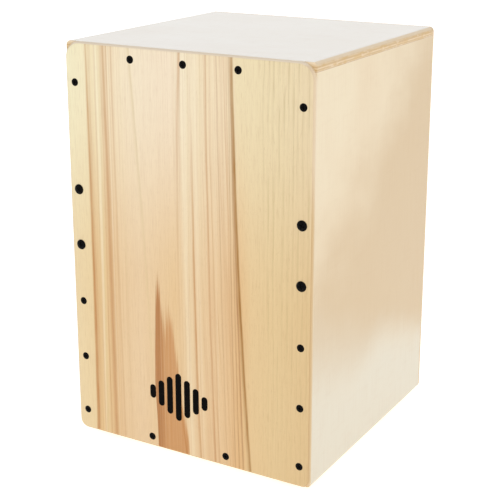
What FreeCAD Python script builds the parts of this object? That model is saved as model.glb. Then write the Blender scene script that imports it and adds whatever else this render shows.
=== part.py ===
import FreeCAD, Part
import math
import os

# A cajon: a plywood box drum that the player sits on, with a thin veneered
# playing plate on its front and snare wires behind the plate.
# Millimetres. The origin is on the floor under the middle of the box, +Z is up,
# the playing plate faces -Y and +X is to the right of someone facing the plate.

# ---- driving dimensions ----------------------------------------------------------------
box_width = 300.0
box_height = 450.0
box_depth = 300.0
foot_height = 8.0
wall = 10.0
front_plate_thickness = 4.0
back_panel_thickness = 4.0
plate_top_corner_radius = 18.0
plate_bottom_corner_radius = 10.0
plate_edge_round = 3.2
back_edge_round = 1.0
body_edge_radius = 5.5

batten_width = 18.0
batten_depth = 15.0
corner_strip_leg = 12.0

sound_hole_radius = 57.5
sound_hole_height = 300.0
sound_hole_edge_round = 1.5

# The front plate's screws, with heights above the plate's lower edge.
side_screw_inset = 12.2
small_side_screw_heights = [24.0, 90.5, 157.5, 406.0]
large_side_screw_heights = [224.0, 287.5]
top_screw_inset = 14.0
top_screw_pitch = 65.0
bottom_screw_inset = 12.2
bottom_screw_pitch = 96.0

# The back panel's screws.
back_screw_inset = 13.0
back_screws_per_side = 5
back_screws_per_row = 2

# The snares: a board behind the side battens carries two sets of coiled strands.
snare_bar_thickness = 12.0
snare_bar_margin = 14.0
snare_set_offset = 52.0
snare_block_width = 60.0
snare_block_height = 44.0
snare_block_drop = 6.0
strand_count = 10
strand_pitch = 4.6
strand_radius = 1.0
strand_length = 122.0
strand_gap = 0.1
snare_plate_width = 54.0
snare_plate_height = 30.0
snare_plate_thickness = 0.8
snare_plate_screw_pitch = 36.0
snare_plate_screw_lift = 6.0
strand_seat = 14.0

# The feet.
foot_inset = 33.0
foot_top_radius = 12.0
foot_bottom_radius = 10.5
foot_edge_round = 0.8
foot_recess_radius = 5.5
foot_recess_depth = 4.5
washer_radius = 5.0
washer_thickness = 0.8

# The printed badge: a row of upright bars with round ends.
badge_bar_width = 7.5
badge_bar_pitch = 11.2
badge_bar_heights = [16.0, 30.0, 44.0, 56.0, 44.0, 30.0, 16.0]
badge_centre_x = -12.0
badge_centre_height = 68.0
badge_thickness = 0.2

# Every screw hole is this much wider than its screw, all round.
hole_clearance = 0.05
# Each screw stops at its own angle, this far round from its neighbour.
screw_turn_step = 37.0


def screw_size(head_radius, head_rise, head_rim, sink, shank_radius, length):
    """Sizes of one kind of screw. sink is the depth of its countersunk cone."""
    return {
        "head_radius": head_radius,
        "head_rise": head_rise,
        "head_rim": head_rim,
        "sink": sink,
        "shank_radius": shank_radius,
        "length": length,
    }


head_proud = 1.6
small_screw = screw_size(4.2, 0.5, 0.1, 2.3, 1.75, 16.0)
large_screw = screw_size(5.6, head_proud, 0.5, 0.0, 2.1, 27.0)
back_screw = screw_size(4.2, head_proud, 0.4, 0.0, 1.75, 16.0)
snare_screw = screw_size(3.2, 1.4, 0.4, 0.0, 1.4, 12.0)
block_screw = screw_size(3.6, 0.3, 0.1, 2.0, 1.6, 20.0)
foot_screw = screw_size(4.0, 1.8, 0.6, 0.0, 1.8, 12.0)
recess_width = 1.0
recess_depth = 1.3
# The arms of the cross-shaped recess, as a share of the head's radius.
recess_reach = 0.62
# A screw's taper, and the small flat that it ends in.
screw_tip = 4.0
screw_point_radius = 0.15

# How far a cutting tool overshoots the face that it cuts, and how near an edge
# has to lie to a place to count as being there.
overshoot = 1.0
near = 0.01

# ---- places worked out from them -------------------------------------------------------
half_width = box_width / 2
base_z = foot_height
top_z = base_z + box_height
front_y = -box_depth / 2
back_y = box_depth / 2
body_front_y = front_y + front_plate_thickness
body_back_y = back_y - back_panel_thickness
inner_x = half_width - wall
inner_bottom_z = base_z + wall
inner_top_z = top_z - wall
batten_inner_x = inner_x - batten_width
front_batten_back_y = body_front_y + batten_depth
back_batten_front_y = body_back_y - batten_depth
large_screw_heights = [base_z + height for height in large_side_screw_heights]
snare_bar_bottom_z = min(large_screw_heights) - snare_bar_margin
snare_bar_top_z = max(large_screw_heights) + snare_bar_margin
snare_bar_back_y = front_batten_back_y + snare_bar_thickness
strand_y = body_front_y + strand_gap + strand_radius
snare_plate_front_y = strand_y + strand_radius
snare_block_front_y = snare_plate_front_y + snare_plate_thickness
snare_block_top_z = snare_bar_top_z - snare_block_drop
snare_block_bottom_z = snare_block_top_z - snare_block_height
snare_plate_top_z = snare_block_top_z
snare_plate_bottom_z = snare_plate_top_z - snare_plate_height
snare_screw_z = snare_plate_bottom_z + snare_plate_screw_lift
strand_bottom_z = snare_plate_top_z - strand_seat
foot_places = [
    (side * (half_width - foot_inset), end * (box_depth / 2 - foot_inset))
    for end in (-1, 1)
    for side in (-1, 1)
]

inward_from_front = FreeCAD.Vector(0, 1, 0)
inward_from_back = FreeCAD.Vector(0, -1, 0)
upward = FreeCAD.Vector(0, 0, 1)


# ---- shape helpers ---------------------------------------------------------------------
def block(x_range, y_range, z_range):
    """A rectangular solid between the given low and high values."""
    corner = FreeCAD.Vector(x_range[0], y_range[0], z_range[0])
    size_x = x_range[1] - x_range[0]
    size_y = y_range[1] - y_range[0]
    size_z = z_range[1] - z_range[0]
    return Part.makeBox(size_x, size_y, size_z, corner)


def fillet_where(solid, radius, wanted):
    """Round the edges of a solid for which wanted(edge) is true."""
    edges = [edge for edge in solid.Edges if wanted(edge)]
    return solid.makeFillet(radius, edges)


def edges_along_y_at(x, z):
    """A test for the straight edges that run along Y at the given x and z."""
    def wanted(edge):
        box = edge.BoundBox
        at_x = abs(box.XMin - x) < near and abs(box.XMax - x) < near
        at_z = abs(box.ZMin - z) < near and abs(box.ZMax - z) < near
        return at_x and at_z
    return wanted


def edges_in_plane_y(y):
    """A test for the edges that lie in the plane at the given y."""
    def wanted(edge):
        box = edge.BoundBox
        return abs(box.YMin - y) < near and abs(box.YMax - y) < near
    return wanted


def rounded_board(width, z_range, radii, y_range):
    """An upright board facing Y, centred on x = 0, with round corners.

    The two radii are those of the lower corners and of the upper corners.
    """
    board = block((-width / 2, width / 2), y_range, z_range)
    for z, radius in zip(z_range, radii):
        for x in (-width / 2, width / 2):
            board = fillet_where(board, radius, edges_along_y_at(x, z))
    return board


def screw_profile_height(size, radius):
    """How far the domed head's surface stands above the rim at a radius."""
    dome = size["head_rise"] - size["head_rim"]
    sphere_radius = (size["head_radius"] ** 2 + dome ** 2) / (2 * dome)
    drop = sphere_radius - math.sqrt(sphere_radius ** 2 - radius ** 2)
    return size["head_rise"] - drop


def screw_body(size, extra):
    """A screw without its drive recess, grown by extra all round.

    The underside of the head, or the top of the countersunk cone, is at z = 0
    and the tip points along +Z.
    """
    head_radius = size["head_radius"] + extra
    shank_radius = size["shank_radius"] + extra
    point_radius = screw_point_radius + extra
    length = size["length"] + extra
    rim_top = -size["head_rim"] - extra
    crown = FreeCAD.Vector(0, 0, -size["head_rise"] - extra)
    half_radius = size["head_radius"] / 2
    shoulder = FreeCAD.Vector(half_radius, 0, -screw_profile_height(size, half_radius) - extra)
    rim = FreeCAD.Vector(head_radius, 0, rim_top)
    outline = [
        rim,
        FreeCAD.Vector(head_radius, 0, 0),
        FreeCAD.Vector(shank_radius, 0, size["sink"]),
        FreeCAD.Vector(shank_radius, 0, length - screw_tip),
        FreeCAD.Vector(point_radius, 0, length),
        FreeCAD.Vector(0, 0, length),
        crown,
    ]
    edges = [Part.Arc(crown, shoulder, rim).toShape()]
    for start, end in zip(outline, outline[1:]):
        edges.append(Part.LineSegment(start, end).toShape())
    face = Part.Face(Part.Wire(edges))
    return face.revolve(FreeCAD.Vector(0, 0, 0), upward, 360)


def cross_recess(size, turn):
    """The cross-shaped pocket that the screwdriver fits."""
    arm = size["head_radius"] * recess_reach
    low = -size["head_rise"] - overshoot
    high = -size["head_rise"] + recess_depth
    half = recess_width / 2
    first = block((-arm, arm), (-half, half), (low, high))
    second = block((-half, half), (-arm, arm), (low, high))
    pocket = first.fuse(second)
    pocket.rotate(FreeCAD.Vector(0, 0, 0), upward, turn)
    return pocket


def aim(shape, place, direction):
    """Move a shape made along +Z so that it starts at place and points along direction."""
    turned = shape.copy()
    turned.Placement = FreeCAD.Placement(
        FreeCAD.Vector(*place),
        FreeCAD.Rotation(upward, direction),
    )
    return turned


def screws(size, places, direction):
    """A group of separate screws, one at each place."""
    made = []
    for index, place in enumerate(places):
        turn = index * screw_turn_step
        screw = screw_body(size, 0.0).cut(cross_recess(size, turn))
        made.append(aim(screw, place, direction))
    return made


def drill(solid, size, places, direction):
    """Cut the holes for screws of one size out of a solid."""
    for place in places:
        solid = solid.cut(aim(screw_body(size, hole_clearance), place, direction))
    return solid


# ---- where the screws go ---------------------------------------------------------------
def side_columns(heights):
    """Front screw places down both sides, at heights above the plate's lower edge."""
    x = half_width - side_screw_inset
    return [(side * x, front_y, base_z + height) for side in (-1, 1) for height in heights]


def small_front_places():
    places = side_columns(small_side_screw_heights)
    for step in (-1, 0, 1):
        places.append((step * top_screw_pitch, front_y, top_z - top_screw_inset))
    for side in (-0.5, 0.5):
        places.append((side * bottom_screw_pitch, front_y, base_z + bottom_screw_inset))
    return places


def large_front_places():
    return side_columns(large_side_screw_heights)


def back_places():
    x = half_width - back_screw_inset
    low = base_z + back_screw_inset + corner_strip_leg
    high = top_z - back_screw_inset - corner_strip_leg
    step = (high - low) / (back_screws_per_side - 1)
    places = []
    for side in (-1, 1):
        for index in range(back_screws_per_side):
            places.append((side * x, back_y, low + index * step))
    pitch = 2 * x / (back_screws_per_row + 1)
    for z in (base_z + back_screw_inset, top_z - back_screw_inset):
        for index in range(back_screws_per_row):
            offset = index - (back_screws_per_row - 1) / 2
            places.append((offset * pitch, back_y, z))
    return places


def snare_screw_places(side):
    centre = side * snare_set_offset
    offsets = (-snare_plate_screw_pitch / 2, snare_plate_screw_pitch / 2)
    return [(centre + offset, snare_plate_front_y, snare_screw_z) for offset in offsets]


def block_screw_places(side):
    """Screws that come from behind, through the snare bar into a snare block."""
    centre = side * snare_set_offset
    spread = snare_block_width / 3
    height = (snare_block_top_z + snare_screw_z) / 2
    return [(centre + offset, snare_bar_back_y, height) for offset in (-spread / 2, spread / 2)]


def foot_screw_places():
    height = foot_recess_depth - washer_thickness
    return [(x, y, height) for x, y in foot_places]


# ---- the box ---------------------------------------------------------------------------
def top_panel():
    panel = block((-half_width, half_width), (body_front_y, body_back_y), (inner_top_z, top_z))
    for x in (-half_width, half_width):
        panel = fillet_where(panel, body_edge_radius, edges_along_y_at(x, top_z))
    return panel


def side_panel(side):
    x_range = sorted((side * inner_x, side * half_width))
    panel = block(x_range, (body_front_y, body_back_y), (base_z, inner_top_z))
    return fillet_where(panel, body_edge_radius, edges_along_y_at(side * half_width, base_z))


def bottom_panel():
    panel = block((-inner_x, inner_x), (body_front_y, body_back_y), (base_z, inner_bottom_z))
    return drill(panel, foot_screw, foot_screw_places(), upward)


def front_plate():
    radii = (plate_bottom_corner_radius, plate_top_corner_radius)
    plate = rounded_board(box_width, (base_z, top_z), radii, (front_y, body_front_y))
    plate = fillet_where(plate, plate_edge_round, edges_in_plane_y(front_y))
    plate = drill(plate, small_screw, small_front_places(), inward_from_front)
    return drill(plate, large_screw, large_front_places(), inward_from_front)


def back_panel():
    radii = (body_edge_radius, body_edge_radius)
    panel = rounded_board(box_width, (base_z, top_z), radii, (body_back_y, back_y))
    start = FreeCAD.Vector(0, body_back_y - overshoot, sound_hole_height)
    length = back_panel_thickness + 2 * overshoot
    panel = panel.cut(Part.makeCylinder(sound_hole_radius, length, start, FreeCAD.Vector(0, 1, 0)))
    panel = fillet_where(panel, back_edge_round, is_outer_back_edge)
    panel = fillet_where(panel, sound_hole_edge_round, is_hole_back_edge)
    return drill(panel, back_screw, back_places(), inward_from_back)


def is_hole_back_edge(edge):
    """True for the sound hole's circle in the back face."""
    box = edge.BoundBox
    in_back_face = box.YMin > back_y - near
    within_circle = max(abs(box.XMin), abs(box.XMax)) < sound_hole_radius + near
    return in_back_face and within_circle


def is_outer_back_edge(edge):
    """True for the back face's outer edges."""
    box = edge.BoundBox
    return box.YMin > back_y - near and not is_hole_back_edge(edge)


# ---- the battens and corner strips -----------------------------------------------------
def upright_batten(side, y_range):
    x_range = sorted((side * batten_inner_x, side * inner_x))
    return block(x_range, y_range, (inner_bottom_z, inner_top_z))


def level_batten(y_range, z_range):
    return block((-batten_inner_x, batten_inner_x), y_range, z_range)


def front_batten_y():
    return (body_front_y, front_batten_back_y)


def back_batten_y():
    return (back_batten_front_y, body_back_y)


def top_batten_z():
    return (inner_top_z - batten_width, inner_top_z)


def bottom_batten_z():
    return (inner_bottom_z, inner_bottom_z + batten_width)


def drilled_front(batten):
    batten = drill(batten, small_screw, small_front_places(), inward_from_front)
    return drill(batten, large_screw, large_front_places(), inward_from_front)


def drilled_back(batten):
    return drill(batten, back_screw, back_places(), inward_from_back)


def corner_strip(side, corner_z, rise):
    """A three-cornered strip glued along the joint of a side with the top or the bottom."""
    start = FreeCAD.Vector(side * inner_x, front_batten_back_y, corner_z)
    across = start + FreeCAD.Vector(-side * corner_strip_leg, 0, 0)
    along = start + FreeCAD.Vector(0, 0, rise * corner_strip_leg)
    face = Part.Face(Part.makePolygon([start, across, along, start]))
    return face.extrude(FreeCAD.Vector(0, back_batten_front_y - front_batten_back_y, 0))


# ---- the snares ------------------------------------------------------------------------
def snare_bar():
    bar = block(
        (-inner_x, inner_x),
        (front_batten_back_y, snare_bar_back_y),
        (snare_bar_bottom_z, snare_bar_top_z),
    )
    bar = drill(bar, large_screw, large_front_places(), inward_from_front)
    for side in (-1, 1):
        bar = drill(bar, block_screw, block_screw_places(side), inward_from_back)
    return bar


def snare_block(side):
    centre = side * snare_set_offset
    solid = block(
        (centre - snare_block_width / 2, centre + snare_block_width / 2),
        (snare_block_front_y, front_batten_back_y),
        (snare_block_bottom_z, snare_block_top_z),
    )
    solid = drill(solid, snare_screw, snare_screw_places(side), inward_from_front)
    return drill(solid, block_screw, block_screw_places(side), inward_from_back)


def snare_plate(side):
    centre = side * snare_set_offset
    plate = block(
        (centre - snare_plate_width / 2, centre + snare_plate_width / 2),
        (snare_plate_front_y, snare_block_front_y),
        (snare_plate_bottom_z, snare_plate_top_z),
    )
    return drill(plate, snare_screw, snare_screw_places(side), inward_from_front)


def snare_wires(side):
    """One set of coiled strands, each as the cylinder that its coil fills."""
    strands = []
    for index in range(strand_count):
        offset = (index - (strand_count - 1) / 2) * strand_pitch
        start = FreeCAD.Vector(side * snare_set_offset + offset, strand_y, strand_bottom_z)
        strands.append(Part.makeCylinder(strand_radius, strand_length, start, upward))
    return strands


# ---- the feet --------------------------------------------------------------------------
def foot(place):
    """A tapered rubber foot with a recess for its screw and washer."""
    x, y = place
    centre = FreeCAD.Vector(x, y, 0)
    body = Part.makeCone(foot_bottom_radius, foot_top_radius, foot_height, centre, upward)
    body = fillet_where(body, foot_edge_round, lambda edge: edge.BoundBox.ZMax < near)
    recess = Part.makeCylinder(foot_recess_radius, foot_recess_depth, centre, upward)
    body = body.cut(recess)
    return drill(body, foot_screw, [(x, y, foot_recess_depth - washer_thickness)], upward)


def foot_washers():
    washers = []
    for x, y in foot_places:
        start = FreeCAD.Vector(x, y, foot_recess_depth - washer_thickness)
        disc = Part.makeCylinder(washer_radius, washer_thickness, start, upward)
        hole_radius = foot_screw["shank_radius"] + hole_clearance
        hole = Part.makeCylinder(hole_radius, washer_thickness, start, upward)
        washers.append(disc.cut(hole))
    return washers


# ---- the badge -------------------------------------------------------------------------
def badge():
    """Upright bars with round ends, as thin films on the front plate."""
    bars = []
    middle = (len(badge_bar_heights) - 1) / 2
    end_radius = badge_bar_width / 2 - near
    for index, height in enumerate(badge_bar_heights):
        x = badge_centre_x + (index - middle) * badge_bar_pitch
        low = base_z + badge_centre_height - height / 2
        bar = rounded_board(
            badge_bar_width,
            (low, low + height),
            (end_radius, end_radius),
            (front_y - badge_thickness, front_y),
        )
        bar.translate(FreeCAD.Vector(x, 0, 0))
        bars.append(bar)
    return bars


# ---- writing ---------------------------------------------------------------------------
def save(name, solids):
    """Write one node as a STEP file; a list of solids stays a group of separate solids."""
    if isinstance(solids, list):
        solids = Part.makeCompound(solids)
    solids.exportStep(f"parts/{name}.step")


def save_box():
    save("top_panel", top_panel())
    save("bottom_panel", bottom_panel())
    save("left_side_panel", side_panel(-1))
    save("right_side_panel", side_panel(1))
    save("front_plate", front_plate())
    save("back_panel", back_panel())


def save_battens():
    for name, side in (("left", -1), ("right", 1)):
        save(f"front_{name}_batten", drilled_front(upright_batten(side, front_batten_y())))
        save(f"back_{name}_batten", drilled_back(upright_batten(side, back_batten_y())))
    for name, z_range in (("top", top_batten_z()), ("bottom", bottom_batten_z())):
        save(f"front_{name}_batten", drilled_front(level_batten(front_batten_y(), z_range)))
        save(f"back_{name}_batten", drilled_back(level_batten(back_batten_y(), z_range)))
    for level, corner_z, rise in (("top", inner_top_z, -1), ("bottom", inner_bottom_z, 1)):
        for name, side in (("left", -1), ("right", 1)):
            save(f"{level}_{name}_corner_strip", corner_strip(side, corner_z, rise))


def save_snares():
    save("snare_bar", snare_bar())
    plate_screws = []
    block_screws = []
    for name, side in (("left", -1), ("right", 1)):
        save(f"{name}_snare_block", snare_block(side))
        save(f"{name}_snare_plate", snare_plate(side))
        save(f"{name}_snare_wires", snare_wires(side))
        plate_screws += screws(snare_screw, snare_screw_places(side), inward_from_front)
        block_screws += screws(block_screw, block_screw_places(side), inward_from_back)
    save("snare_plate_screws", plate_screws)
    save("snare_block_screws", block_screws)


def save_feet():
    names = ("front_left_foot", "front_right_foot", "back_left_foot", "back_right_foot")
    for name, place in zip(names, foot_places):
        save(name, foot(place))
    save("foot_washers", foot_washers())
    save("foot_screws", screws(foot_screw, foot_screw_places(), upward))


def save_front_and_back_fixings():
    save("front_plate_screws", screws(small_screw, small_front_places(), inward_from_front))
    save("front_plate_large_screws", screws(large_screw, large_front_places(), inward_from_front))
    save("back_panel_screws", screws(back_screw, back_places(), inward_from_back))
    save("front_badge", badge())


os.makedirs("parts", exist_ok=True)
save_box()
save_battens()
save_snares()
save_feet()
save_front_and_back_fixings()
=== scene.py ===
import math

import bpy
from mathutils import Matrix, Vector


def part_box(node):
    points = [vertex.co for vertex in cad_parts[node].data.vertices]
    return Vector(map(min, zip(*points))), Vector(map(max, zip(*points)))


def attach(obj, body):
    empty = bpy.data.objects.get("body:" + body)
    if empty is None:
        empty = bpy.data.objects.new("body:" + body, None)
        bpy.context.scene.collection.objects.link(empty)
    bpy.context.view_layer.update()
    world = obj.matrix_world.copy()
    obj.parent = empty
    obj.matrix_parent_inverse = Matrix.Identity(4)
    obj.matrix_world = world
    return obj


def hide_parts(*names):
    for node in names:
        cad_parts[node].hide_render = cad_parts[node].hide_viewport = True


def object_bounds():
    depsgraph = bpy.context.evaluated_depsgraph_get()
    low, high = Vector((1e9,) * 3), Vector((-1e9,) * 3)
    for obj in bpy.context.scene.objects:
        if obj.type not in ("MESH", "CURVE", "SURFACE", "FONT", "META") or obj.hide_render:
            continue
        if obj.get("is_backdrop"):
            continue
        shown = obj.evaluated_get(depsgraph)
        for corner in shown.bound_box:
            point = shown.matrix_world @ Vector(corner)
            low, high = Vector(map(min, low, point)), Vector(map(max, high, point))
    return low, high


# The looks of a cajon: birch plywood box, heartwood ash playing plate, black screws.
# Lengths are in metres, except in the wood patterns, which count in millimetres.

MM = 0.001
MM_PER_METRE = 1000.0

# ---- view and light ----------------------------------------------------------------
# The camera aims at a point of the playing plate's front, this far to the right of its
# middle and above its foot. Angles are in degrees.
CAMERA_AZIMUTH = 30.07
CAMERA_ELEVATION = 16.18
CAMERA_DISTANCE = 1.2096
CAMERA_AIM_RIGHT = 0.0785
CAMERA_AIM_HEIGHT = 0.2952
CAMERA_LENS = 86.43
CAMERA_SHIFT_Y = -0.08
CAMERA_REACH = 100.0
FLOOR_SIZE = 24.0
FLOOR_GLOW = 0.62
WALL_RADIANCE = 0.81
CEILING_RADIANCE = 0.60
# Heights on the unit sphere of directions: the sine of their elevation.
WALL_TOP = 0.40
CEILING_START = 0.85
LIGHT_TARGET = (0.0, 0.0, 0.22)
# Each light's name, place, side and radiance.
LIGHTS = [
    ("key_light", (0.35, -1.5, 1.35), 0.9, 1.0),
    ("side_light", (1.3, -0.5, 1.3), 0.7, 1.7),
    ("back_light", (-1.4, 2.3, 0.95), 2.2, 0.64),
]


# ---- shader helpers ----------------------------------------------------------------
LACQUER_SHEEN = 0.05
# Where a Mix node keeps its sockets for colours.
MIX_SHARE = 0
MIX_FIRST = 6
MIX_SECOND = 7
MIX_RESULT = 2


def linear(channel):
    """The light that a screen's channel of 0 to 255 stands for, by the sRGB curve."""
    share = channel / 255
    if share <= 0.04045:
        return share / 12.92
    return ((share + 0.055) / 1.055) ** 2.4


def colour(red, green, blue):
    """A colour as seen on a screen, 0 to 255 a channel, as the linear one shaders use."""
    return (linear(red), linear(green), linear(blue), 1.0)


def under_lacquer(red, green, blue):
    """The base colour of wood that looks like this once its lacquer's sheen is added."""
    seen = colour(red, green, blue)
    return tuple(max(channel - LACQUER_SHEEN, 0.0) for channel in seen[:3]) + (1.0,)


class Value:
    """A number worked out at each point of a surface; arithmetic on it makes math nodes."""

    def __init__(self, graph, socket):
        self.graph = graph
        self.socket = socket

    def __add__(self, other):
        return self.graph.math("ADD", self, other)

    def __sub__(self, other):
        return self.graph.math("SUBTRACT", self, other)

    def __rsub__(self, other):
        return self.graph.math("SUBTRACT", other, self)

    def __mul__(self, other):
        return self.graph.math("MULTIPLY", self, other)

    def __truediv__(self, other):
        return self.graph.math("DIVIDE", self, other)

    def swing(self, reach):
        """Noise about 0.5 as a shift to either side, by half the reach at most."""
        return (self - 0.5) * reach


class Graph:
    """A node tree, with a short call for each kind of node used here."""

    def __init__(self, owner, coordinates):
        owner.use_nodes = True
        self.tree = owner.node_tree
        place = self.node("ShaderNodeTexCoord").outputs[coordinates]
        split = self.node("ShaderNodeSeparateXYZ")
        self.join(split.inputs[0], place)
        self.x, self.y, self.z = [Value(self, socket) for socket in split.outputs]

    def node(self, kind):
        return self.tree.nodes.new(kind)

    def join(self, socket, value):
        """Give a socket a link or a plain value."""
        if isinstance(value, Value):
            value = value.socket
        if isinstance(value, bpy.types.NodeSocket):
            self.tree.links.new(value, socket)
        else:
            socket.default_value = value

    def math(self, operation, first, second=0.0):
        node = self.node("ShaderNodeMath")
        node.operation = operation
        self.join(node.inputs[0], first)
        self.join(node.inputs[1], second)
        return Value(self, node.outputs[0])

    def step(self, value, low, high):
        """0 up to low, 1 from high, and smooth between them."""
        node = self.node("ShaderNodeMapRange")
        node.interpolation_type = "SMOOTHSTEP"
        self.join(node.inputs["Value"], value)
        self.join(node.inputs["From Min"], low)
        self.join(node.inputs["From Max"], high)
        return Value(self, node.outputs["Result"])

    def between(self, value, rise, fall):
        """1 between a rise and a fall and 0 outside them. Each is where it starts and ends."""
        return self.step(value, *rise) * (1.0 - self.step(value, *fall))

    def mix(self, share, first, second):
        """Two colours mixed by a share of the second."""
        node = self.node("ShaderNodeMix")
        node.data_type = "RGBA"
        self.join(node.inputs[MIX_SHARE], share)
        self.join(node.inputs[MIX_FIRST], first)
        self.join(node.inputs[MIX_SECOND], second)
        return node.outputs[MIX_RESULT]

    def stain(self, base, tone, pattern, low, high, most=1.0, where=1.0):
        """Mix a tone into a base: none where a pattern is low, the most where it is high.

        where is a share of 0 to 1 that keeps the stain to a part of the surface.
        """
        return self.mix(self.step(pattern, low, high) * (where * most), base, tone)

    def ramp(self, value, stops):
        """A colour that follows a value through (place, colour) stops."""
        node = self.node("ShaderNodeValToRGB")
        elements = node.color_ramp.elements
        while len(elements) < len(stops):
            elements.new(1.0)
        for element, (place, tone) in zip(elements, stops):
            element.position = place
            element.color = tone
        self.join(node.inputs[0], value)
        return node.outputs["Color"]

    def noise(self, x, y, z, detail=2.0):
        """Soft noise about 0.5 at a point given by three values."""
        point = self.node("ShaderNodeCombineXYZ")
        for socket, value in zip(point.inputs, (x, y, z)):
            self.join(socket, value)
        node = self.node("ShaderNodeTexNoise")
        self.join(node.inputs["Vector"], point.outputs[0])
        node.inputs["Scale"].default_value = 1.0
        node.inputs["Detail"].default_value = detail
        return Value(self, node.outputs["Fac"])

    def streaks(self, across, along, width, length, layer, detail=2.0):
        """Noise in streaks of about that width and length. Each layer is its own pattern."""
        return self.noise(across / width, float(layer), along / length, detail)


class Material(Graph):
    """A new material's graph, whose x, y and z are a place on the object in metres."""

    def __init__(self, name):
        self.material = bpy.data.materials.new(name)
        super().__init__(self.material, "Object")
        self.shader = self.tree.nodes["Principled BSDF"]

    def millimetres(self, axis):
        """The place along the x, y or z axis in millimetres."""
        return {"x": self.x, "y": self.y, "z": self.z}[axis] * MM_PER_METRE

    def grains(self, per_metre, detail):
        """Noise in even grains, about so many of them to a metre."""
        return self.noise(self.x * per_metre, self.y * per_metre, self.z * per_metre, detail)

    def bump(self, height, distance):
        """Raise the surface by a height of 0 to 1 times a distance in metres."""
        node = self.node("ShaderNodeBump")
        node.inputs["Strength"].default_value = 1.0
        node.inputs["Distance"].default_value = distance
        self.join(node.inputs["Height"], height)
        self.join(self.shader.inputs["Normal"], node.outputs["Normal"])

    def finish(self, base, roughness, **plain):
        """Set the shader: a base colour, a roughness and plain values by socket name."""
        self.join(self.shader.inputs["Base Color"], base)
        self.join(self.shader.inputs["Roughness"], roughness)
        for name, value in plain.items():
            self.shader.inputs[name.replace("_", " ")].default_value = value
        return self.material


# ---- the playing plate's veneer ----------------------------------------------------
PLATE_HALF_WIDTH = 150.0
PLATE_HEIGHT = 450.0
VENEER_THICKNESS = 0.35
# How far the grain wanders sideways, from one side to the other.
GRAIN_WANDER = 2.2
BROWN = under_lacquer(160, 104, 52)
RED_BROWN = under_lacquer(182, 120, 70)
DARK_BROWN = under_lacquer(164, 118, 62)
OCHRE = under_lacquer(184, 122, 46)
STRAW = under_lacquer(208, 186, 136)
OLIVE = under_lacquer(168, 146, 94)
CREAM = under_lacquer(250, 241, 214)
PLATE_CORE = under_lacquer(212, 182, 138)
PLATE_PLY = under_lacquer(228, 207, 172)
# The painted light on the plate's edge, which is paler higher up and along its top.
PLATE_EDGE_PAINTED_LIGHT = under_lacquer(238, 224, 204)

# Zones across the plate, in millimetres from its middle. Each has where it fades in and,
# unless it reaches the edge, where it fades out.
HEART = ((-128.0, -122.0), (56.0, 66.0))
CALM_HEART = ((-88.0, -68.0), (-16.0, -6.0))
LEANING_GRAIN = ((-10.0, 60.0), (62.0, 94.0))
RINGED_SAPWOOD = (84.0, 98.0)
# How much weaker the figure is in the calm zone.
CALMING = 0.75

# The sapwood's year rings, and how strongly they show at the plate's foot and head.
RINGS_FROM = 92.0
RING_PITCH = 5.6
RINGS_AT_FOOT = 0.08
RINGS_AT_HEAD = 0.34

# Tones across the plate at its head and at its foot: millimetres from the middle, and the
# colour as seen. The foot's turn into the head's between two shares of the height. The head's
# are paler than the foot's partly as painted light: a painted sheen reflected on the upper
# plate and light falling from above. The bands across the plate are the wood's own.
FOOT_TO_HEAD = (0.38, 0.96)
HEAD_TONES_WITH_PAINTED_LIGHT = [
    (-150, (242, 234, 199)),
    (-126, (243, 232, 197)),
    (-118, (241, 226, 189)),
    (-108, (242, 228, 192)),
    (-98, (237, 216, 181)),
    (-84, (243, 227, 196)),
    (-60, (243, 228, 201)),
    (-16, (243, 226, 200)),
    (0, (242, 228, 199)),
    (28, (240, 222, 189)),
    (50, (239, 220, 188)),
    (64, (236, 220, 182)),
    (110, (234, 217, 179)),
    (150, (232, 213, 177)),
]
FOOT_TONES = [
    (-150, (235, 213, 171)),
    (-126, (234, 210, 165)),
    (-118, (231, 199, 149)),
    (-108, (232, 203, 155)),
    (-98, (224, 188, 140)),
    (-86, (231, 201, 159)),
    (-60, (233, 205, 166)),
    (-14, (230, 198, 152)),
    (2, (234, 208, 168)),
    (28, (230, 199, 157)),
    (50, (228, 195, 151)),
    (66, (226, 188, 138)),
    (80, (228, 199, 152)),
    (110, (226, 199, 152)),
    (150, (222, 193, 146)),
]

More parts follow.
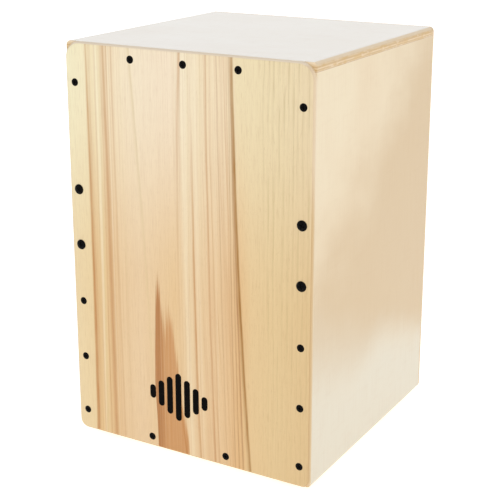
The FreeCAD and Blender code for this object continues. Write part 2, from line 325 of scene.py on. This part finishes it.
# Growth lines. Each has where it crosses the foot, the middle and the head of the plate,
# the width of its sharp side (below 0 if that is the left side), how many times wider its
# other side is, its strength at foot, middle and head, and its colour.
GROWTH_LINES = [
    ((-122.6, -121.2, -121.8), -1.7, 1.3, (0.70, 0.62, 0.10), OCHRE),
    ((-124.6, -122.4, -122.6), -0.7, 1.6, (0.56, 0.42, 0.38), OCHRE),
    ((-119.0, -118.4, -119.0), 0.7, 1.6, (0.16, 0.10, 0.08), RED_BROWN),
    ((-112.5, -109.0, -109.0), 1.6, 1.3, (0.20, 0.34, 0.40), CREAM),
    ((-93.0, -93.5, -93.0), 0.9, 1.3, (0.10, 0.20, 0.40), CREAM),
    ((7.0, 0.5, 0.0), 2.6, 1.2, (0.22, 0.20, 0.22), CREAM),
    ((22.0, 15.5, 14.0), 2.2, 1.3, (0.08, 0.14, 0.18), CREAM),
    ((41.0, 38.0, 36.0), 0.9, 1.3, (0.08, 0.10, 0.10), CREAM),
    ((-116.5, -116.5, -117.0), 0.7, 1.6, (0.16, 0.06, 0.06), RED_BROWN),
    ((-113.0, -112.0, -110.5), 0.7, 1.5, (0.26, 0.16, 0.12), RED_BROWN),
    ((-110.0, -106.5, -105.5), 0.8, 1.8, (0.30, 0.22, 0.14), STRAW),
    ((-104.5, -103.2, -102.8), 0.7, 1.5, (0.26, 0.24, 0.16), RED_BROWN),
    ((-97.6, -98.0, -100.1), 2.1, 1.4, (0.42, 0.43, 0.28), RED_BROWN),
    ((-95.0, -95.6, -95.6), 0.7, 1.2, (0.10, 0.12, 0.34), RED_BROWN),
    ((-91.5, -92.5, -92.5), 0.6, 1.2, (0.10, 0.16, 0.14), OCHRE),
    ((-84.5, -87.5, -89.0), 0.9, 1.5, (0.20, 0.22, 0.22), OCHRE),
    ((-76.0, -77.0, -79.0), 0.7, 1.5, (0.10, 0.12, 0.12), STRAW),
    ((-42.0, -51.5, -67.5), 0.9, 2.5, (0.00, 0.22, 0.40), STRAW),
    ((-3.0, -9.1, -4.6), 1.1, 1.6, (0.00, 0.15, 0.46), OCHRE),
    ((-1.0, -6.0, -3.6), 0.6, 1.4, (0.20, 0.12, 0.30), OCHRE),
    ((8.0, 4.6, 5.4), 0.6, 1.2, (0.06, 0.10, 0.20), STRAW),
    ((17.2, 10.6, 10.4), 0.8, 2.2, (0.38, 0.52, -0.30), OCHRE),
    ((24.0, 20.5, 20.5), 0.6, 1.4, (0.10, 0.12, 0.22), STRAW),
    ((35.5, 29.2, 27.0), 1.0, 1.4, (0.52, 0.42, 0.40), RED_BROWN),
    ((40.5, 34.6, 31.5), 0.8, 1.2, (0.34, 0.20, 0.10), RED_BROWN),
    ((50.0, 43.7, 39.5), 0.7, 1.4, (0.10, 0.28, 0.24), BROWN),
    ((54.0, 48.0, 46.0), 0.5, 1.2, (0.14, 0.12, 0.10), RED_BROWN),
    ((58.0, 53.2, 51.6), 0.6, 1.2, (0.14, 0.18, 0.16), RED_BROWN),
    ((60.4, 55.6, 54.0), 0.7, 1.2, (0.34, 0.36, 0.20), BROWN),
    ((65.4, 59.4, 56.4), 0.7, 1.3, (0.40, 0.34, 0.10), BROWN),
    ((70.5, 62.2, 55.0), 0.7, 2.0, (0.46, 0.56, 0.12), BROWN),
    # The dark right-hand rim of the flame.
    ((-1.8, -27.0, -52.0), 0.8, 1.5, (0.60, -0.65, -2.2), OCHRE),
    # The strongest line, which the grain beside it follows.
    ((79.4, 65.0, 57.4), 1.1, 2.3, (0.76, 0.92, 0.66), DARK_BROWN),
]
STRONGEST_PATH = GROWTH_LINES[-1][0]

# The heartwood flame at the foot: how high it reaches at each place across the plate.
FLAME_HEIGHTS = [
    (-44.0, 0),
    (-42.0, 140),
    (-39.0, 202),
    (-36.5, 219),
    (-33.5, 194),
    (-31.5, 174),
    (-28.5, 162),
    (-24.5, 180),
    (-21.0, 176),
    (-18.0, 162),
    (-15.5, 140),
    (-11.0, 108),
    (-8.0, 72),
    (-3.2, 42),
    (-1.8, 0),
]
FLAME_LEFT = under_lacquer(180, 124, 76)
FLAME_RIGHT = under_lacquer(204, 152, 102)
FLAME_LEFT_TO_RIGHT = (-38.0, -26.0)
FLAME_FADE = 34.0
FLAME_LOWEST = 30.0
FLAME_TONGUES = 110.0
# Its foot stands to the right, and it is upright from this height.
FLAME_LEAN = 4.0
FLAME_UPRIGHT_FROM = 90.0


def across_plate(stops):
    """Tones given by millimetres from the plate's middle, as a ramp over its width."""
    return [((place / PLATE_HALF_WIDTH + 1) / 2, under_lacquer(*tone)) for place, tone in stops]


def parabola(height, levels):
    """A value that passes three levels on its way up: at height 0, 0.5 and 1."""
    foot, middle, head = levels
    slope = 4 * middle - 3 * foot - head
    curve = 2 * foot - 4 * middle + 2 * head
    return height * (height * curve + slope) + foot


def plate_tones(graph, x, height):
    """The plate's pale and warm bands, which are darker at its foot; its paler head is partly
    painted light.
    """
    place = (x + PLATE_HALF_WIDTH) / (2 * PLATE_HALF_WIDTH)
    head = graph.ramp(place, across_plate(HEAD_TONES_WITH_PAINTED_LIGHT))
    foot = graph.ramp(place, across_plate(FOOT_TONES))
    return graph.stain(foot, head, height, *FOOT_TO_HEAD)


def year_rings(graph, x, grain_x, z, height):
    """How much the year rings of the right-hand sapwood show at each point."""
    wobble = graph.streaks(x, z, width=14.0, length=160.0, layer=6) * 0.9
    count = (grain_x - RINGS_FROM) / RING_PITCH + wobble
    ring = graph.step(graph.math("FRACT", count), low=0.35, high=1.0)
    gaps = graph.streaks(x, z, width=4.0, length=55.0, layer=9)
    shown = graph.step(gaps, low=0.30, high=0.66)
    strength = height * (RINGS_AT_HEAD - RINGS_AT_FOOT) + RINGS_AT_FOOT
    return ring * graph.step(x, *RINGED_SAPWOOD) * shown * strength


def plate_grain(graph, x, grain_x, z, height, threads, tone):
    """Warm bands and threads in the heartwood, year rings beside it, and short dashes."""
    heart = graph.between(x, *HEART) * (1.0 - graph.between(x, *CALM_HEART) * CALMING)
    bands = graph.streaks(grain_x, z, width=6.0, length=500.0, layer=4)
    tone = graph.stain(tone, RED_BROWN, bands, low=0.46, high=0.74, most=0.13, where=heart)
    tone = graph.stain(tone, OCHRE, threads, low=0.52, high=0.74, most=0.26, where=heart)
    tone = graph.mix(year_rings(graph, x, grain_x, z, height), tone, OLIVE)
    dashes = graph.streaks(grain_x, z, width=0.8, length=16.0, layer=10)
    rest = 1.0 - heart * 0.5
    return graph.stain(tone, BROWN, dashes, low=0.50, high=0.74, most=0.13, where=rest)


def flame(graph, x, z):
    """1 inside the brown heartwood flame at the plate's foot, 0 outside it."""
    left = FLAME_HEIGHTS[0][0]
    right = FLAME_HEIGHTS[-1][0]
    stops = [
        ((place - left) / (right - left), (reach / PLATE_HEIGHT,) * 3 + (1.0,))
        for place, reach in FLAME_HEIGHTS
    ]
    x = x - (1.0 - graph.step(z, 0.0, FLAME_UPRIGHT_FROM)) * FLAME_LEAN
    reach = Value(graph, graph.ramp((x - left) / (right - left), stops)) * PLATE_HEIGHT
    tongues = graph.streaks(x, z, width=1.3, length=160.0, layer=31, detail=3.0)
    inside = graph.step(reach - z + tongues.swing(FLAME_TONGUES), 0.0, FLAME_FADE)
    return inside * graph.step(reach, 0.0, FLAME_LOWEST)


def add_flame(graph, x, z, threads, tone):
    """The flame over the plate's tones, streaked by the grain's threads."""
    burnt = graph.stain(FLAME_LEFT, FLAME_RIGHT, x, *FLAME_LEFT_TO_RIGHT)
    return graph.mix(flame(graph, x, z) * (threads * 0.9 + 0.48), tone, burnt)


def growth_line(graph, x, height, path, width, spread, strength):
    """How much of a growth line's colour shows at each point of the plate."""
    offset = (x - parabola(height, path)) / width
    distance = graph.math("MAXIMUM", offset, offset * (-1 / spread))
    profile = graph.math("EXPONENT", distance * distance * -1.0)
    return profile * graph.math("MAXIMUM", parabola(height, strength), 0.0)


def add_growth_lines(graph, x, z, height, tone):
    """All the growth lines over the plate's tones, each uneven along its length."""
    uneven = graph.streaks(x, z, width=3.0, length=40.0, layer=7, detail=3.0) * 0.9 + 0.55
    for path, width, spread, strength, shade in GROWTH_LINES:
        shown = growth_line(graph, x, height, path, width, spread, strength)
        tone = graph.mix(shown * uneven, tone, shade)
    return tone


def plate_edge(graph, x, z, depth, thickness):
    """The plate's edge: a glue line behind the veneer, then plies, made paler higher up and
    along the top by painted light.
    """
    edge = graph.stain(PLATE_CORE, PLATE_PLY, depth, low=VENEER_THICKNESS, high=thickness)
    edge = graph.mix(graph.streaks(x, z, width=1.5, length=1.5, layer=8) * 0.10, edge, BROWN)
    from_glue = graph.math("ABSOLUTE", depth - VENEER_THICKNESS)
    glue = 1.0 - graph.step(from_glue, low=0.10, high=0.28)
    edge = graph.mix(glue * 0.20, edge, BROWN)
    # Painted light: paler towards the top, and paler still along the top edge.
    height = z / PLATE_HEIGHT
    edge = graph.stain(edge, PLATE_EDGE_PAINTED_LIGHT, height, low=0.62, high=0.80, most=0.45)
    from_top = z - PLATE_HEIGHT
    return graph.stain(edge, PLATE_EDGE_PAINTED_LIGHT, from_top, low=-5.0, high=-2.0, most=0.75)


def ash_veneer():
    """Heartwood ash: pale bands, brown growth lines and a flame, on thin plywood."""
    low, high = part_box("front_plate")
    graph = Material("ash_veneer")
    flat_x = (graph.x - (low.x + high.x) / 2) * MM_PER_METRE
    z = (graph.z - low.z) * MM_PER_METRE
    depth = (graph.y - low.y) * MM_PER_METRE
    height = z / PLATE_HEIGHT
    wander = graph.streaks(flat_x, z, width=40.0, length=110.0, layer=1, detail=3.0)
    x = flat_x + wander.swing(GRAIN_WANDER)

    # The fine grain leans with the strongest growth line, less so away from it.
    lean = parabola(height, STRONGEST_PATH) - STRONGEST_PATH[1]
    grain_x = x - lean * graph.between(x, *LEANING_GRAIN)
    fibres = graph.streaks(grain_x, z, width=0.8, length=60.0, layer=2, detail=3.0)
    threads = graph.streaks(grain_x, z, width=1.7, length=260.0, layer=3)
    vessels = graph.streaks(grain_x, z, width=0.28, length=7.0, layer=5, detail=1.0)
    pores = graph.step(vessels, low=0.66, high=0.74)

    tone = plate_tones(graph, x, height)
    tone = plate_grain(graph, x, grain_x, z, height, threads, tone)
    tone = add_flame(graph, x, z, threads, tone)
    tone = add_growth_lines(graph, x, z, height, tone)
    tone = graph.stain(tone, BROWN, fibres, low=0.42, high=0.80, most=0.12)
    tone = graph.mix(pores * 0.18, tone, BROWN)
    edge = plate_edge(graph, flat_x, z, depth, (high.y - low.y) * MM_PER_METRE)
    tone = graph.stain(tone, edge, depth, low=VENEER_THICKNESS - 0.20, high=VENEER_THICKNESS)

    graph.bump(fibres * 0.6 - pores * 0.8, 0.08 * MM)
    return graph.finish(tone, fibres * 0.12 + 0.36, Coat_Weight=0.15, Coat_Roughness=0.25)


# ---- plywood and solid wood --------------------------------------------------------
PLY_COUNT = 7
FACE_VENEER = 0.25
BIRCH = under_lacquer(234, 218, 187)
BIRCH_WARM = under_lacquer(230, 210, 177)
BIRCH_FLECK = colour(190, 150, 105)
# The top panel's tones are paler and greyer than the other panels' as a painted reflection.
TOP_PAINTED_REFLECTION = under_lacquer(233, 228, 219)
TOP_WARM_PAINTED_REFLECTION = under_lacquer(230, 223, 212)
PLY_LIGHT = under_lacquer(228, 202, 160)
PLY_DARK = under_lacquer(210, 179, 134)
PLY_OCHRE = under_lacquer(214, 176, 112)
GLUE_LINE = colour(166, 126, 82)
# A pale ply tone for patches, also the painted highlight on the edges' rounded corners.
PALE_PLY_AND_PAINTED_HIGHLIGHT = under_lacquer(240, 220, 190)
# How deep the painted highlight on an edge's rounded corner reaches.
PAINTED_HIGHLIGHT_DEPTH = 2.8

# The painted light on the side panels, and how strong it is. The left side gets less of it.
SWEEP_WARM = under_lacquer(210, 182, 141)
SWEEP_PAINTED_REFLECTION = under_lacquer(224, 215, 195)
LEFT_SWEEP = 0.5
RIGHT_SWEEP = 1.0
# Its painted reflection of the bright floor, which whitens the foot, ends about this high in
# the middle of the panel, and lower towards the back by this slope. It starts to fade this far
# from that end, in front and behind.
SWEEP_HEIGHT = 147.0
SWEEP_SLOPE = 0.40
SWEEP_FADE_TOP = 25.0
SWEEP_FADE_FRONT = -120.0
SWEEP_FADE_BACK = -45.0
SWEEP_FRONT_TO_BACK = (-110.0, 70.0)
# Its warm middle fades in above the painted reflection and fades out towards the panel's
# head, which is paler there as painted light from above. The head starts higher towards the
# back by a slope, and by a second one in the back half.
WARM_STRENGTH = 0.85
WARM_FADE = 60.0
WARM_TO_HEAD = (245.0, 425.0)
WARM_SLOPE = 0.65
WARM_RISE = 0.45
# Panels in different places are different sheets of this painted light's noise.
SHEETS_PER_METRE = 21.4

SOFTWOOD = colour(222, 188, 140)
LATE_WOOD = colour(190, 142, 92)
SOFTWOOD_FIBRE = colour(170, 124, 78)
SOFTWOOD_RING_PITCH = 2.4


def painted_side_light(graph, u, v, sheet, strength, face):
    """A side's veneer with painted light: a painted reflection of the bright floor whitens its
    foot, and painted light from above makes its head paler, around a warmer middle.
    """
    height = v - SWEEP_HEIGHT + u * SWEEP_SLOPE
    height = height + graph.noise(u / 90.0, v / 90.0, sheet).swing(40.0)
    behind = graph.step(u, *SWEEP_FRONT_TO_BACK)
    lowest = behind * (SWEEP_FADE_BACK - SWEEP_FADE_FRONT) + SWEEP_FADE_FRONT
    head_wobble = graph.noise(u / 95.0, v / 70.0, sheet * 3.0, detail=2.5).swing(170.0)
    rise = u * WARM_SLOPE + graph.math("MAXIMUM", u, 0.0) * WARM_RISE
    # Painted light from above: the warm middle gives way to a paler head.
    painted_head_light = graph.step(v - rise + head_wobble, *WARM_TO_HEAD)
    warm = graph.step(height, lowest, lowest + WARM_FADE) * (1.0 - painted_head_light)
    face = graph.mix(warm * (WARM_STRENGTH * strength), face, SWEEP_WARM)
    # Painted reflection of the bright floor: a whiter foot.
    painted_reflection = 1.0 - graph.step(height, lowest, SWEEP_FADE_TOP)
    return graph.mix(painted_reflection * strength, face, SWEEP_PAINTED_REFLECTION)


def plies(graph, u, v, depth, thickness):
    """Crossed plies with seams of glue, and patches where the end grain shows."""
    ply = depth / (thickness / PLY_COUNT)
    turn = graph.math("PINGPONG", ply - 0.5, 1.0)
    edge = graph.stain(PLY_LIGHT, PLY_DARK, turn, low=0.40, high=0.60)
    from_seam = graph.math("PINGPONG", ply, 0.5)
    edge = graph.mix((1.0 - graph.step(from_seam, low=0.0, high=0.09)) * 0.16, edge, GLUE_LINE)
    patches = graph.noise(u / 16.0, v / 16.0, depth / 3.0)
    edge = graph.stain(edge, PLY_OCHRE, patches, low=0.46, high=0.62, most=0.55)
    pale_patches = graph.noise(u / 11.0, v / 11.0, depth / 4.0 + 7.0)
    edge = graph.stain(edge, PALE_PLY_AND_PAINTED_HIGHLIGHT, pale_patches, low=0.54, high=0.66, most=0.45)
    return graph.mix(graph.noise(u / 1.2, v / 1.2, depth / 0.4) * 0.22, edge, BIRCH_FLECK)


def birch_plywood(name, node, through, along, pale=BIRCH, warm=BIRCH_WARM, sweep=0.0):
    """Birch plywood of one panel: its face veneers, and its plies where its edges show.

    through is the axis through the thickness, and along is the face grain's axis. pale
    and warm are the two tones of the face, and sweep is the strength of the painted light on
    the sides.
    """
    low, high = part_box(node)
    index = "xyz".index(through)
    thickness = (high[index] - low[index]) * MM_PER_METRE
    across = next(axis for axis in "xyz" if axis not in (through, along))
    graph = Material(name)
    depth = graph.millimetres(through) - low[index] * MM_PER_METRE
    u = graph.millimetres(across)
    v = graph.millimetres(along)

    clouds = graph.streaks(u, v, width=110.0, length=170.0, layer=11)
    fibres = graph.streaks(u, v, width=1.1, length=45.0, layer=12, detail=3.0)
    curl = graph.streaks(u, v, width=26.0, length=7.0, layer=13)
    flecks = graph.streaks(u, v, width=0.7, length=5.0, layer=14, detail=1.0)
    face = graph.stain(pale, warm, clouds, low=0.30, high=0.72)
    # The sides get painted light: a painted reflection at the foot and a paler head.
    if sweep > 0:
        face = painted_side_light(graph, u, v, low[index] * SHEETS_PER_METRE, sweep, face)
    face = graph.stain(face, BIRCH_FLECK, fibres, low=0.45, high=0.80, most=0.14)
    face = graph.stain(face, BIRCH_FLECK, curl, low=0.50, high=0.75, most=0.05)
    face = graph.stain(face, BIRCH_FLECK, flecks, low=0.70, high=0.78, most=0.22)

    # Depths from the panel's outer face and from the inner one, which is glued.
    whole_low, whole_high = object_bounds()
    if low[index] + high[index] > whole_low[index] + whole_high[index]:
        outer, inner = thickness - depth, depth
    else:
        outer, inner = depth, thickness - depth
    edge = plies(graph, u, v, depth, thickness)
    # Painted highlight: the edge is paler near the outer face, on its rounded corner.
    painted_highlight = 1.0 - graph.step(outer, PAINTED_HIGHLIGHT_DEPTH - 1.0, PAINTED_HIGHLIGHT_DEPTH + 1.0)
    edge = graph.mix(painted_highlight * 0.80, edge, PALE_PLY_AND_PAINTED_HIGHLIGHT)
    joint = 1.0 - graph.step(inner, low=0.5, high=1.2)
    edge = graph.mix(joint * 0.45, edge, GLUE_LINE)
    past_face = graph.step(outer, FACE_VENEER - 0.15, FACE_VENEER + 0.15)
    past_face = past_face * graph.step(inner, low=0.04, high=0.08)
    tone = graph.mix(past_face, face, edge)

    graph.bump(fibres * 0.5 + curl * 0.3, 0.05 * MM)
    return graph.finish(tone, fibres * 0.10 + 0.36, Coat_Weight=0.35, Coat_Roughness=0.20)


def batten_wood(name, along):
    """Planed softwood strips, with late-wood lines along their length."""
    graph = Material(name)
    across, through = [axis for axis in "xyz" if axis != along]
    u = graph.millimetres(across)
    w = graph.millimetres(through)
    v = graph.millimetres(along)
    bend = graph.noise(u / 30.0, w / 30.0, v / 160.0).swing(6.0)
    rings = graph.math("PINGPONG", (u + w * 0.6 + bend) / SOFTWOOD_RING_PITCH, 0.5)
    fibres = graph.noise(u / 0.7, w / 0.7, v / 30.0, detail=3.0)
    tone = graph.stain(SOFTWOOD, LATE_WOOD, rings, low=0.28, high=0.50)
    tone = graph.stain(tone, SOFTWOOD_FIBRE, fibres, low=0.45, high=0.75, most=0.30)
    graph.bump(fibres * 0.6 + rings, 0.1 * MM)
    return graph.finish(tone, fibres * 0.15 + 0.55)


# ---- metal, rubber and print -------------------------------------------------------
BLACK = colour(3, 2, 2)
RUBBED_BLACK = colour(26, 22, 21)
SNARE_STEEL = colour(205, 203, 198)
ZINC = colour(186, 184, 178)
DULL_STEEL = colour(120, 116, 108)
RUBBER = colour(32, 32, 33)
DUST = colour(88, 84, 78)
PRINT_OVER_GRAIN = colour(20, 16, 14)


def black_screw():
    """Black phosphated steel, a little rubbed."""
    graph = Material("black_screw")
    rubs = graph.grains(420.0, detail=4.0)
    tone = graph.stain(BLACK, RUBBED_BLACK, rubs, low=0.52, high=0.80, most=0.35)
    graph.bump(graph.grains(2500.0, detail=3.0), 0.03 * MM)
    return graph.finish(tone, rubs * 0.25 + 0.35, Specular_IOR_Level=0.08)


def bright_steel(name, tone, roughness):
    """Plated or drawn steel with fine drawing marks."""
    graph = Material(name)
    marks = graph.noise(graph.x * 900.0, graph.y * 900.0, graph.z * 90.0, detail=4.0)
    dull = graph.grains(160.0, detail=3.0)
    shade = graph.stain(tone, DULL_STEEL, dull, low=0.40, high=0.75, most=0.35)
    graph.bump(marks, 0.02 * MM)
    return graph.finish(shade, marks * 0.15 + roughness, Metallic=1.0)


def foot_rubber():
    """Matt moulded rubber with a fine grain and some dust."""
    graph = Material("foot_rubber")
    grain = graph.grains(1800.0, detail=4.0)
    dust = graph.grains(220.0, detail=4.0)
    tone = graph.stain(RUBBER, DUST, dust, low=0.48, high=0.80, most=0.30)
    graph.bump(grain, 0.1 * MM)
    return graph.finish(tone, grain * 0.2 + 0.65)


def badge_print():
    """Matt black print that lets a little of the grain through."""
    graph = Material("badge_print")
    x = graph.millimetres("x")
    z = graph.millimetres("z")
    fibres = graph.streaks(x, z, width=0.9, length=70.0, layer=2, detail=3.0)
    tone = graph.stain(BLACK, PRINT_OVER_GRAIN, fibres, low=0.50, high=0.85, most=0.20)
    graph.bump(fibres, 0.04 * MM)
    return graph.finish(tone, fibres * 0.15 + 0.55, Specular_IOR_Level=0.05)


# ---- putting the materials on ------------------------------------------------------
def paint(material, *names):
    """Give CAD nodes one material."""
    for name in names:
        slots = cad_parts[name].data.materials
        slots.clear()
        slots.append(material)


def paint_panels():
    """The playing plate and its badge, the box's panels and the snare bar."""
    paint(ash_veneer(), "front_plate")
    paint(badge_print(), "front_badge")
    # The top panel's tones hold a painted reflection of the bright walls.
    top = birch_plywood("birch_top_panel", "top_panel", "z", "x", TOP_PAINTED_REFLECTION, TOP_WARM_PAINTED_REFLECTION)
    paint(top, "top_panel")
    for node, sweep in (("left_side_panel", LEFT_SWEEP), ("right_side_panel", RIGHT_SWEEP)):
        paint(birch_plywood("birch_" + node, node, "x", "z", sweep=sweep), node)
    for node, through, along in (
        ("bottom_panel", "z", "x"),
        ("back_panel", "y", "z"),
        ("snare_bar", "y", "x"),
    ):
        paint(birch_plywood("birch_" + node, node, through, along), node)


def paint_battens():
    """Battens, corner strips and snare blocks, each with its grain along it."""
    upright = batten_wood("batten_upright", "z")
    level = batten_wood("batten_level", "x")
    deep = batten_wood("batten_deep", "y")
    for end in ("front", "back"):
        paint(upright, end + "_left_batten", end + "_right_batten")
        paint(level, end + "_top_batten", end + "_bottom_batten")
    for corner in ("top_left", "top_right", "bottom_left", "bottom_right"):
        paint(deep, corner + "_corner_strip")
    paint(level, "left_snare_block", "right_snare_block")


def paint_hardware(snare_steel):
    """Screws, washers, snare plates and feet."""
    paint(black_screw(), "front_plate_screws", "front_plate_large_screws", "back_panel_screws")
    zinc = bright_steel("zinc_screw", ZINC, roughness=0.28)
    paint(zinc, "snare_plate_screws", "snare_block_screws", "foot_screws", "foot_washers")
    paint(snare_steel, "left_snare_plate", "right_snare_plate")
    rubber = foot_rubber()
    for end in ("front", "back"):
        paint(rubber, end + "_left_foot", end + "_right_foot")


# ---- the snare coils ---------------------------------------------------------------
STRANDS_PER_SET = 10
COIL_PITCH = 1.7 * MM
COIL_WIRE_RADIUS = 0.28 * MM
POINTS_PER_TURN = 7


def wind(spline, radius, x, y, bottom, length):
    """Place a spline's points up a coil round the upright line at x and y."""
    last = len(spline.points) - 1
    for index, point in enumerate(spline.points):
        turn = 2 * math.pi * index / POINTS_PER_TURN
        right = radius * math.cos(turn)
        back = radius * math.sin(turn)
        point.co = (x + right, y + back, bottom + length * index / last, 1.0)


def snare_coils(side, snare_steel):
    """One set of strands, each a wire wound into a long coil."""
    node = side + "_snare_wires"
    low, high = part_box(node)
    strand_radius = (high.y - low.y) / 2
    coil_radius = strand_radius - COIL_WIRE_RADIUS
    first_x = low.x + strand_radius
    pitch = (high.x - low.x - 2 * strand_radius) / (STRANDS_PER_SET - 1)
    centre_y = (low.y + high.y) / 2
    bottom = low.z + COIL_WIRE_RADIUS
    length = high.z - low.z - 2 * COIL_WIRE_RADIUS
    curve = bpy.data.curves.new(side + "_snare_coils", "CURVE")
    curve.dimensions = "3D"
    curve.bevel_depth = COIL_WIRE_RADIUS
    curve.bevel_resolution = 1
    curve.use_fill_caps = True
    for strand in range(STRANDS_PER_SET):
        spline = curve.splines.new("POLY")
        spline.points.add(int(length / COIL_PITCH * POINTS_PER_TURN))
        wind(spline, coil_radius, first_x + strand * pitch, centre_y, bottom, length)
    coils = bpy.data.objects.new(side + "_snare_coils", curve)
    bpy.context.scene.collection.objects.link(coils)
    curve.materials.append(snare_steel)
    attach(coils, "root")
    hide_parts(node)


# ---- floor, light and camera -------------------------------------------------------
def floor():
    """A plain pale floor under the feet."""
    half = FLOOR_SIZE / 2
    corners = [(-half, -half, 0), (half, -half, 0), (half, half, 0), (-half, half, 0)]
    mesh = bpy.data.meshes.new("floor")
    mesh.from_pydata(corners, [], [(0, 1, 2, 3)])
    plane = bpy.data.objects.new("floor", mesh)
    bpy.context.scene.collection.objects.link(plane)
    graph = Material("pale_floor")
    mottle = graph.noise(graph.x * 3.0, graph.y * 3.0, 0.0)
    tone = graph.mix(mottle * 0.3, colour(246, 246, 245), colour(243, 242, 240))
    graph.join(graph.shader.inputs["Emission Color"], tone)
    mesh.materials.append(graph.finish(tone, roughness=0.6, Emission_Strength=FLOOR_GLOW))
    plane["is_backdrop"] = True


def area_light(name, place, size, radiance):
    """A square soft light that faces the object. The camera doesn't see it."""
    data = bpy.data.lights.new(name, "AREA")
    data.size = size
    data.energy = radiance * math.pi * size * size
    light = bpy.data.objects.new(name, data)
    light.location = place
    light.visible_camera = False
    direction = Vector(LIGHT_TARGET) - Vector(place)
    light.rotation_euler = direction.to_track_quat("-Z", "Y").to_euler()
    bpy.context.scene.collection.objects.link(light)


def studio_walls():
    """White walls all round, which fade into a dimmer ceiling."""
    world = bpy.data.worlds.new("studio")
    graph = Graph(world, "Generated")
    ceiling = graph.step(graph.z, WALL_TOP, CEILING_START)
    background = graph.tree.nodes["Background"]
    background.inputs["Color"].default_value = (1.0, 1.0, 1.0, 1.0)
    strength = ceiling * (CEILING_RADIANCE - WALL_RADIANCE) + WALL_RADIANCE
    graph.join(background.inputs["Strength"], strength)
    bpy.context.scene.world = world


def studio_light():
    studio_walls()
    for name, place, size, radiance in LIGHTS:
        area_light(name, place, size, radiance)


def camera():
    """The camera looks down on the plate's right-hand corner."""
    low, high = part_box("front_plate")
    aim = Vector(((low.x + high.x) / 2 + CAMERA_AIM_RIGHT, low.y, low.z + CAMERA_AIM_HEIGHT))
    azimuth = math.radians(CAMERA_AZIMUTH)
    elevation = math.radians(CAMERA_ELEVATION)
    back = Vector((
        math.sin(azimuth) * math.cos(elevation),
        -math.cos(azimuth) * math.cos(elevation),
        math.sin(elevation),
    ))
    data = bpy.data.cameras.new("camera")
    data.lens = CAMERA_LENS
    data.shift_y = CAMERA_SHIFT_Y
    data.clip_end = CAMERA_REACH
    eye = bpy.data.objects.new("camera", data)
    eye.location = aim + back * CAMERA_DISTANCE
    eye.rotation_euler = (-back).to_track_quat("-Z", "Y").to_euler()
    bpy.context.scene.collection.objects.link(eye)
    bpy.context.scene.camera = eye


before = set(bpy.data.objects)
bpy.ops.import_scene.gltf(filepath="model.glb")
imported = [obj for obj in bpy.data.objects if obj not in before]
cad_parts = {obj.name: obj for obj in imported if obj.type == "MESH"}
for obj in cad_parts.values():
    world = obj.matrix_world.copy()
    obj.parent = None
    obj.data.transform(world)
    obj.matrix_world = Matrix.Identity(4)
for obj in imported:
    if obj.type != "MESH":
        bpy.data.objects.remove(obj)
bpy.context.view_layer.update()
bpy.context.scene.view_settings.view_transform = "Standard"

steel = bright_steel("snare_steel", SNARE_STEEL, roughness=0.22)
camera()
studio_light()
floor()
paint_panels()
paint_battens()
paint_hardware(steel)
snare_coils("left", steel)
snare_coils("right", steel)
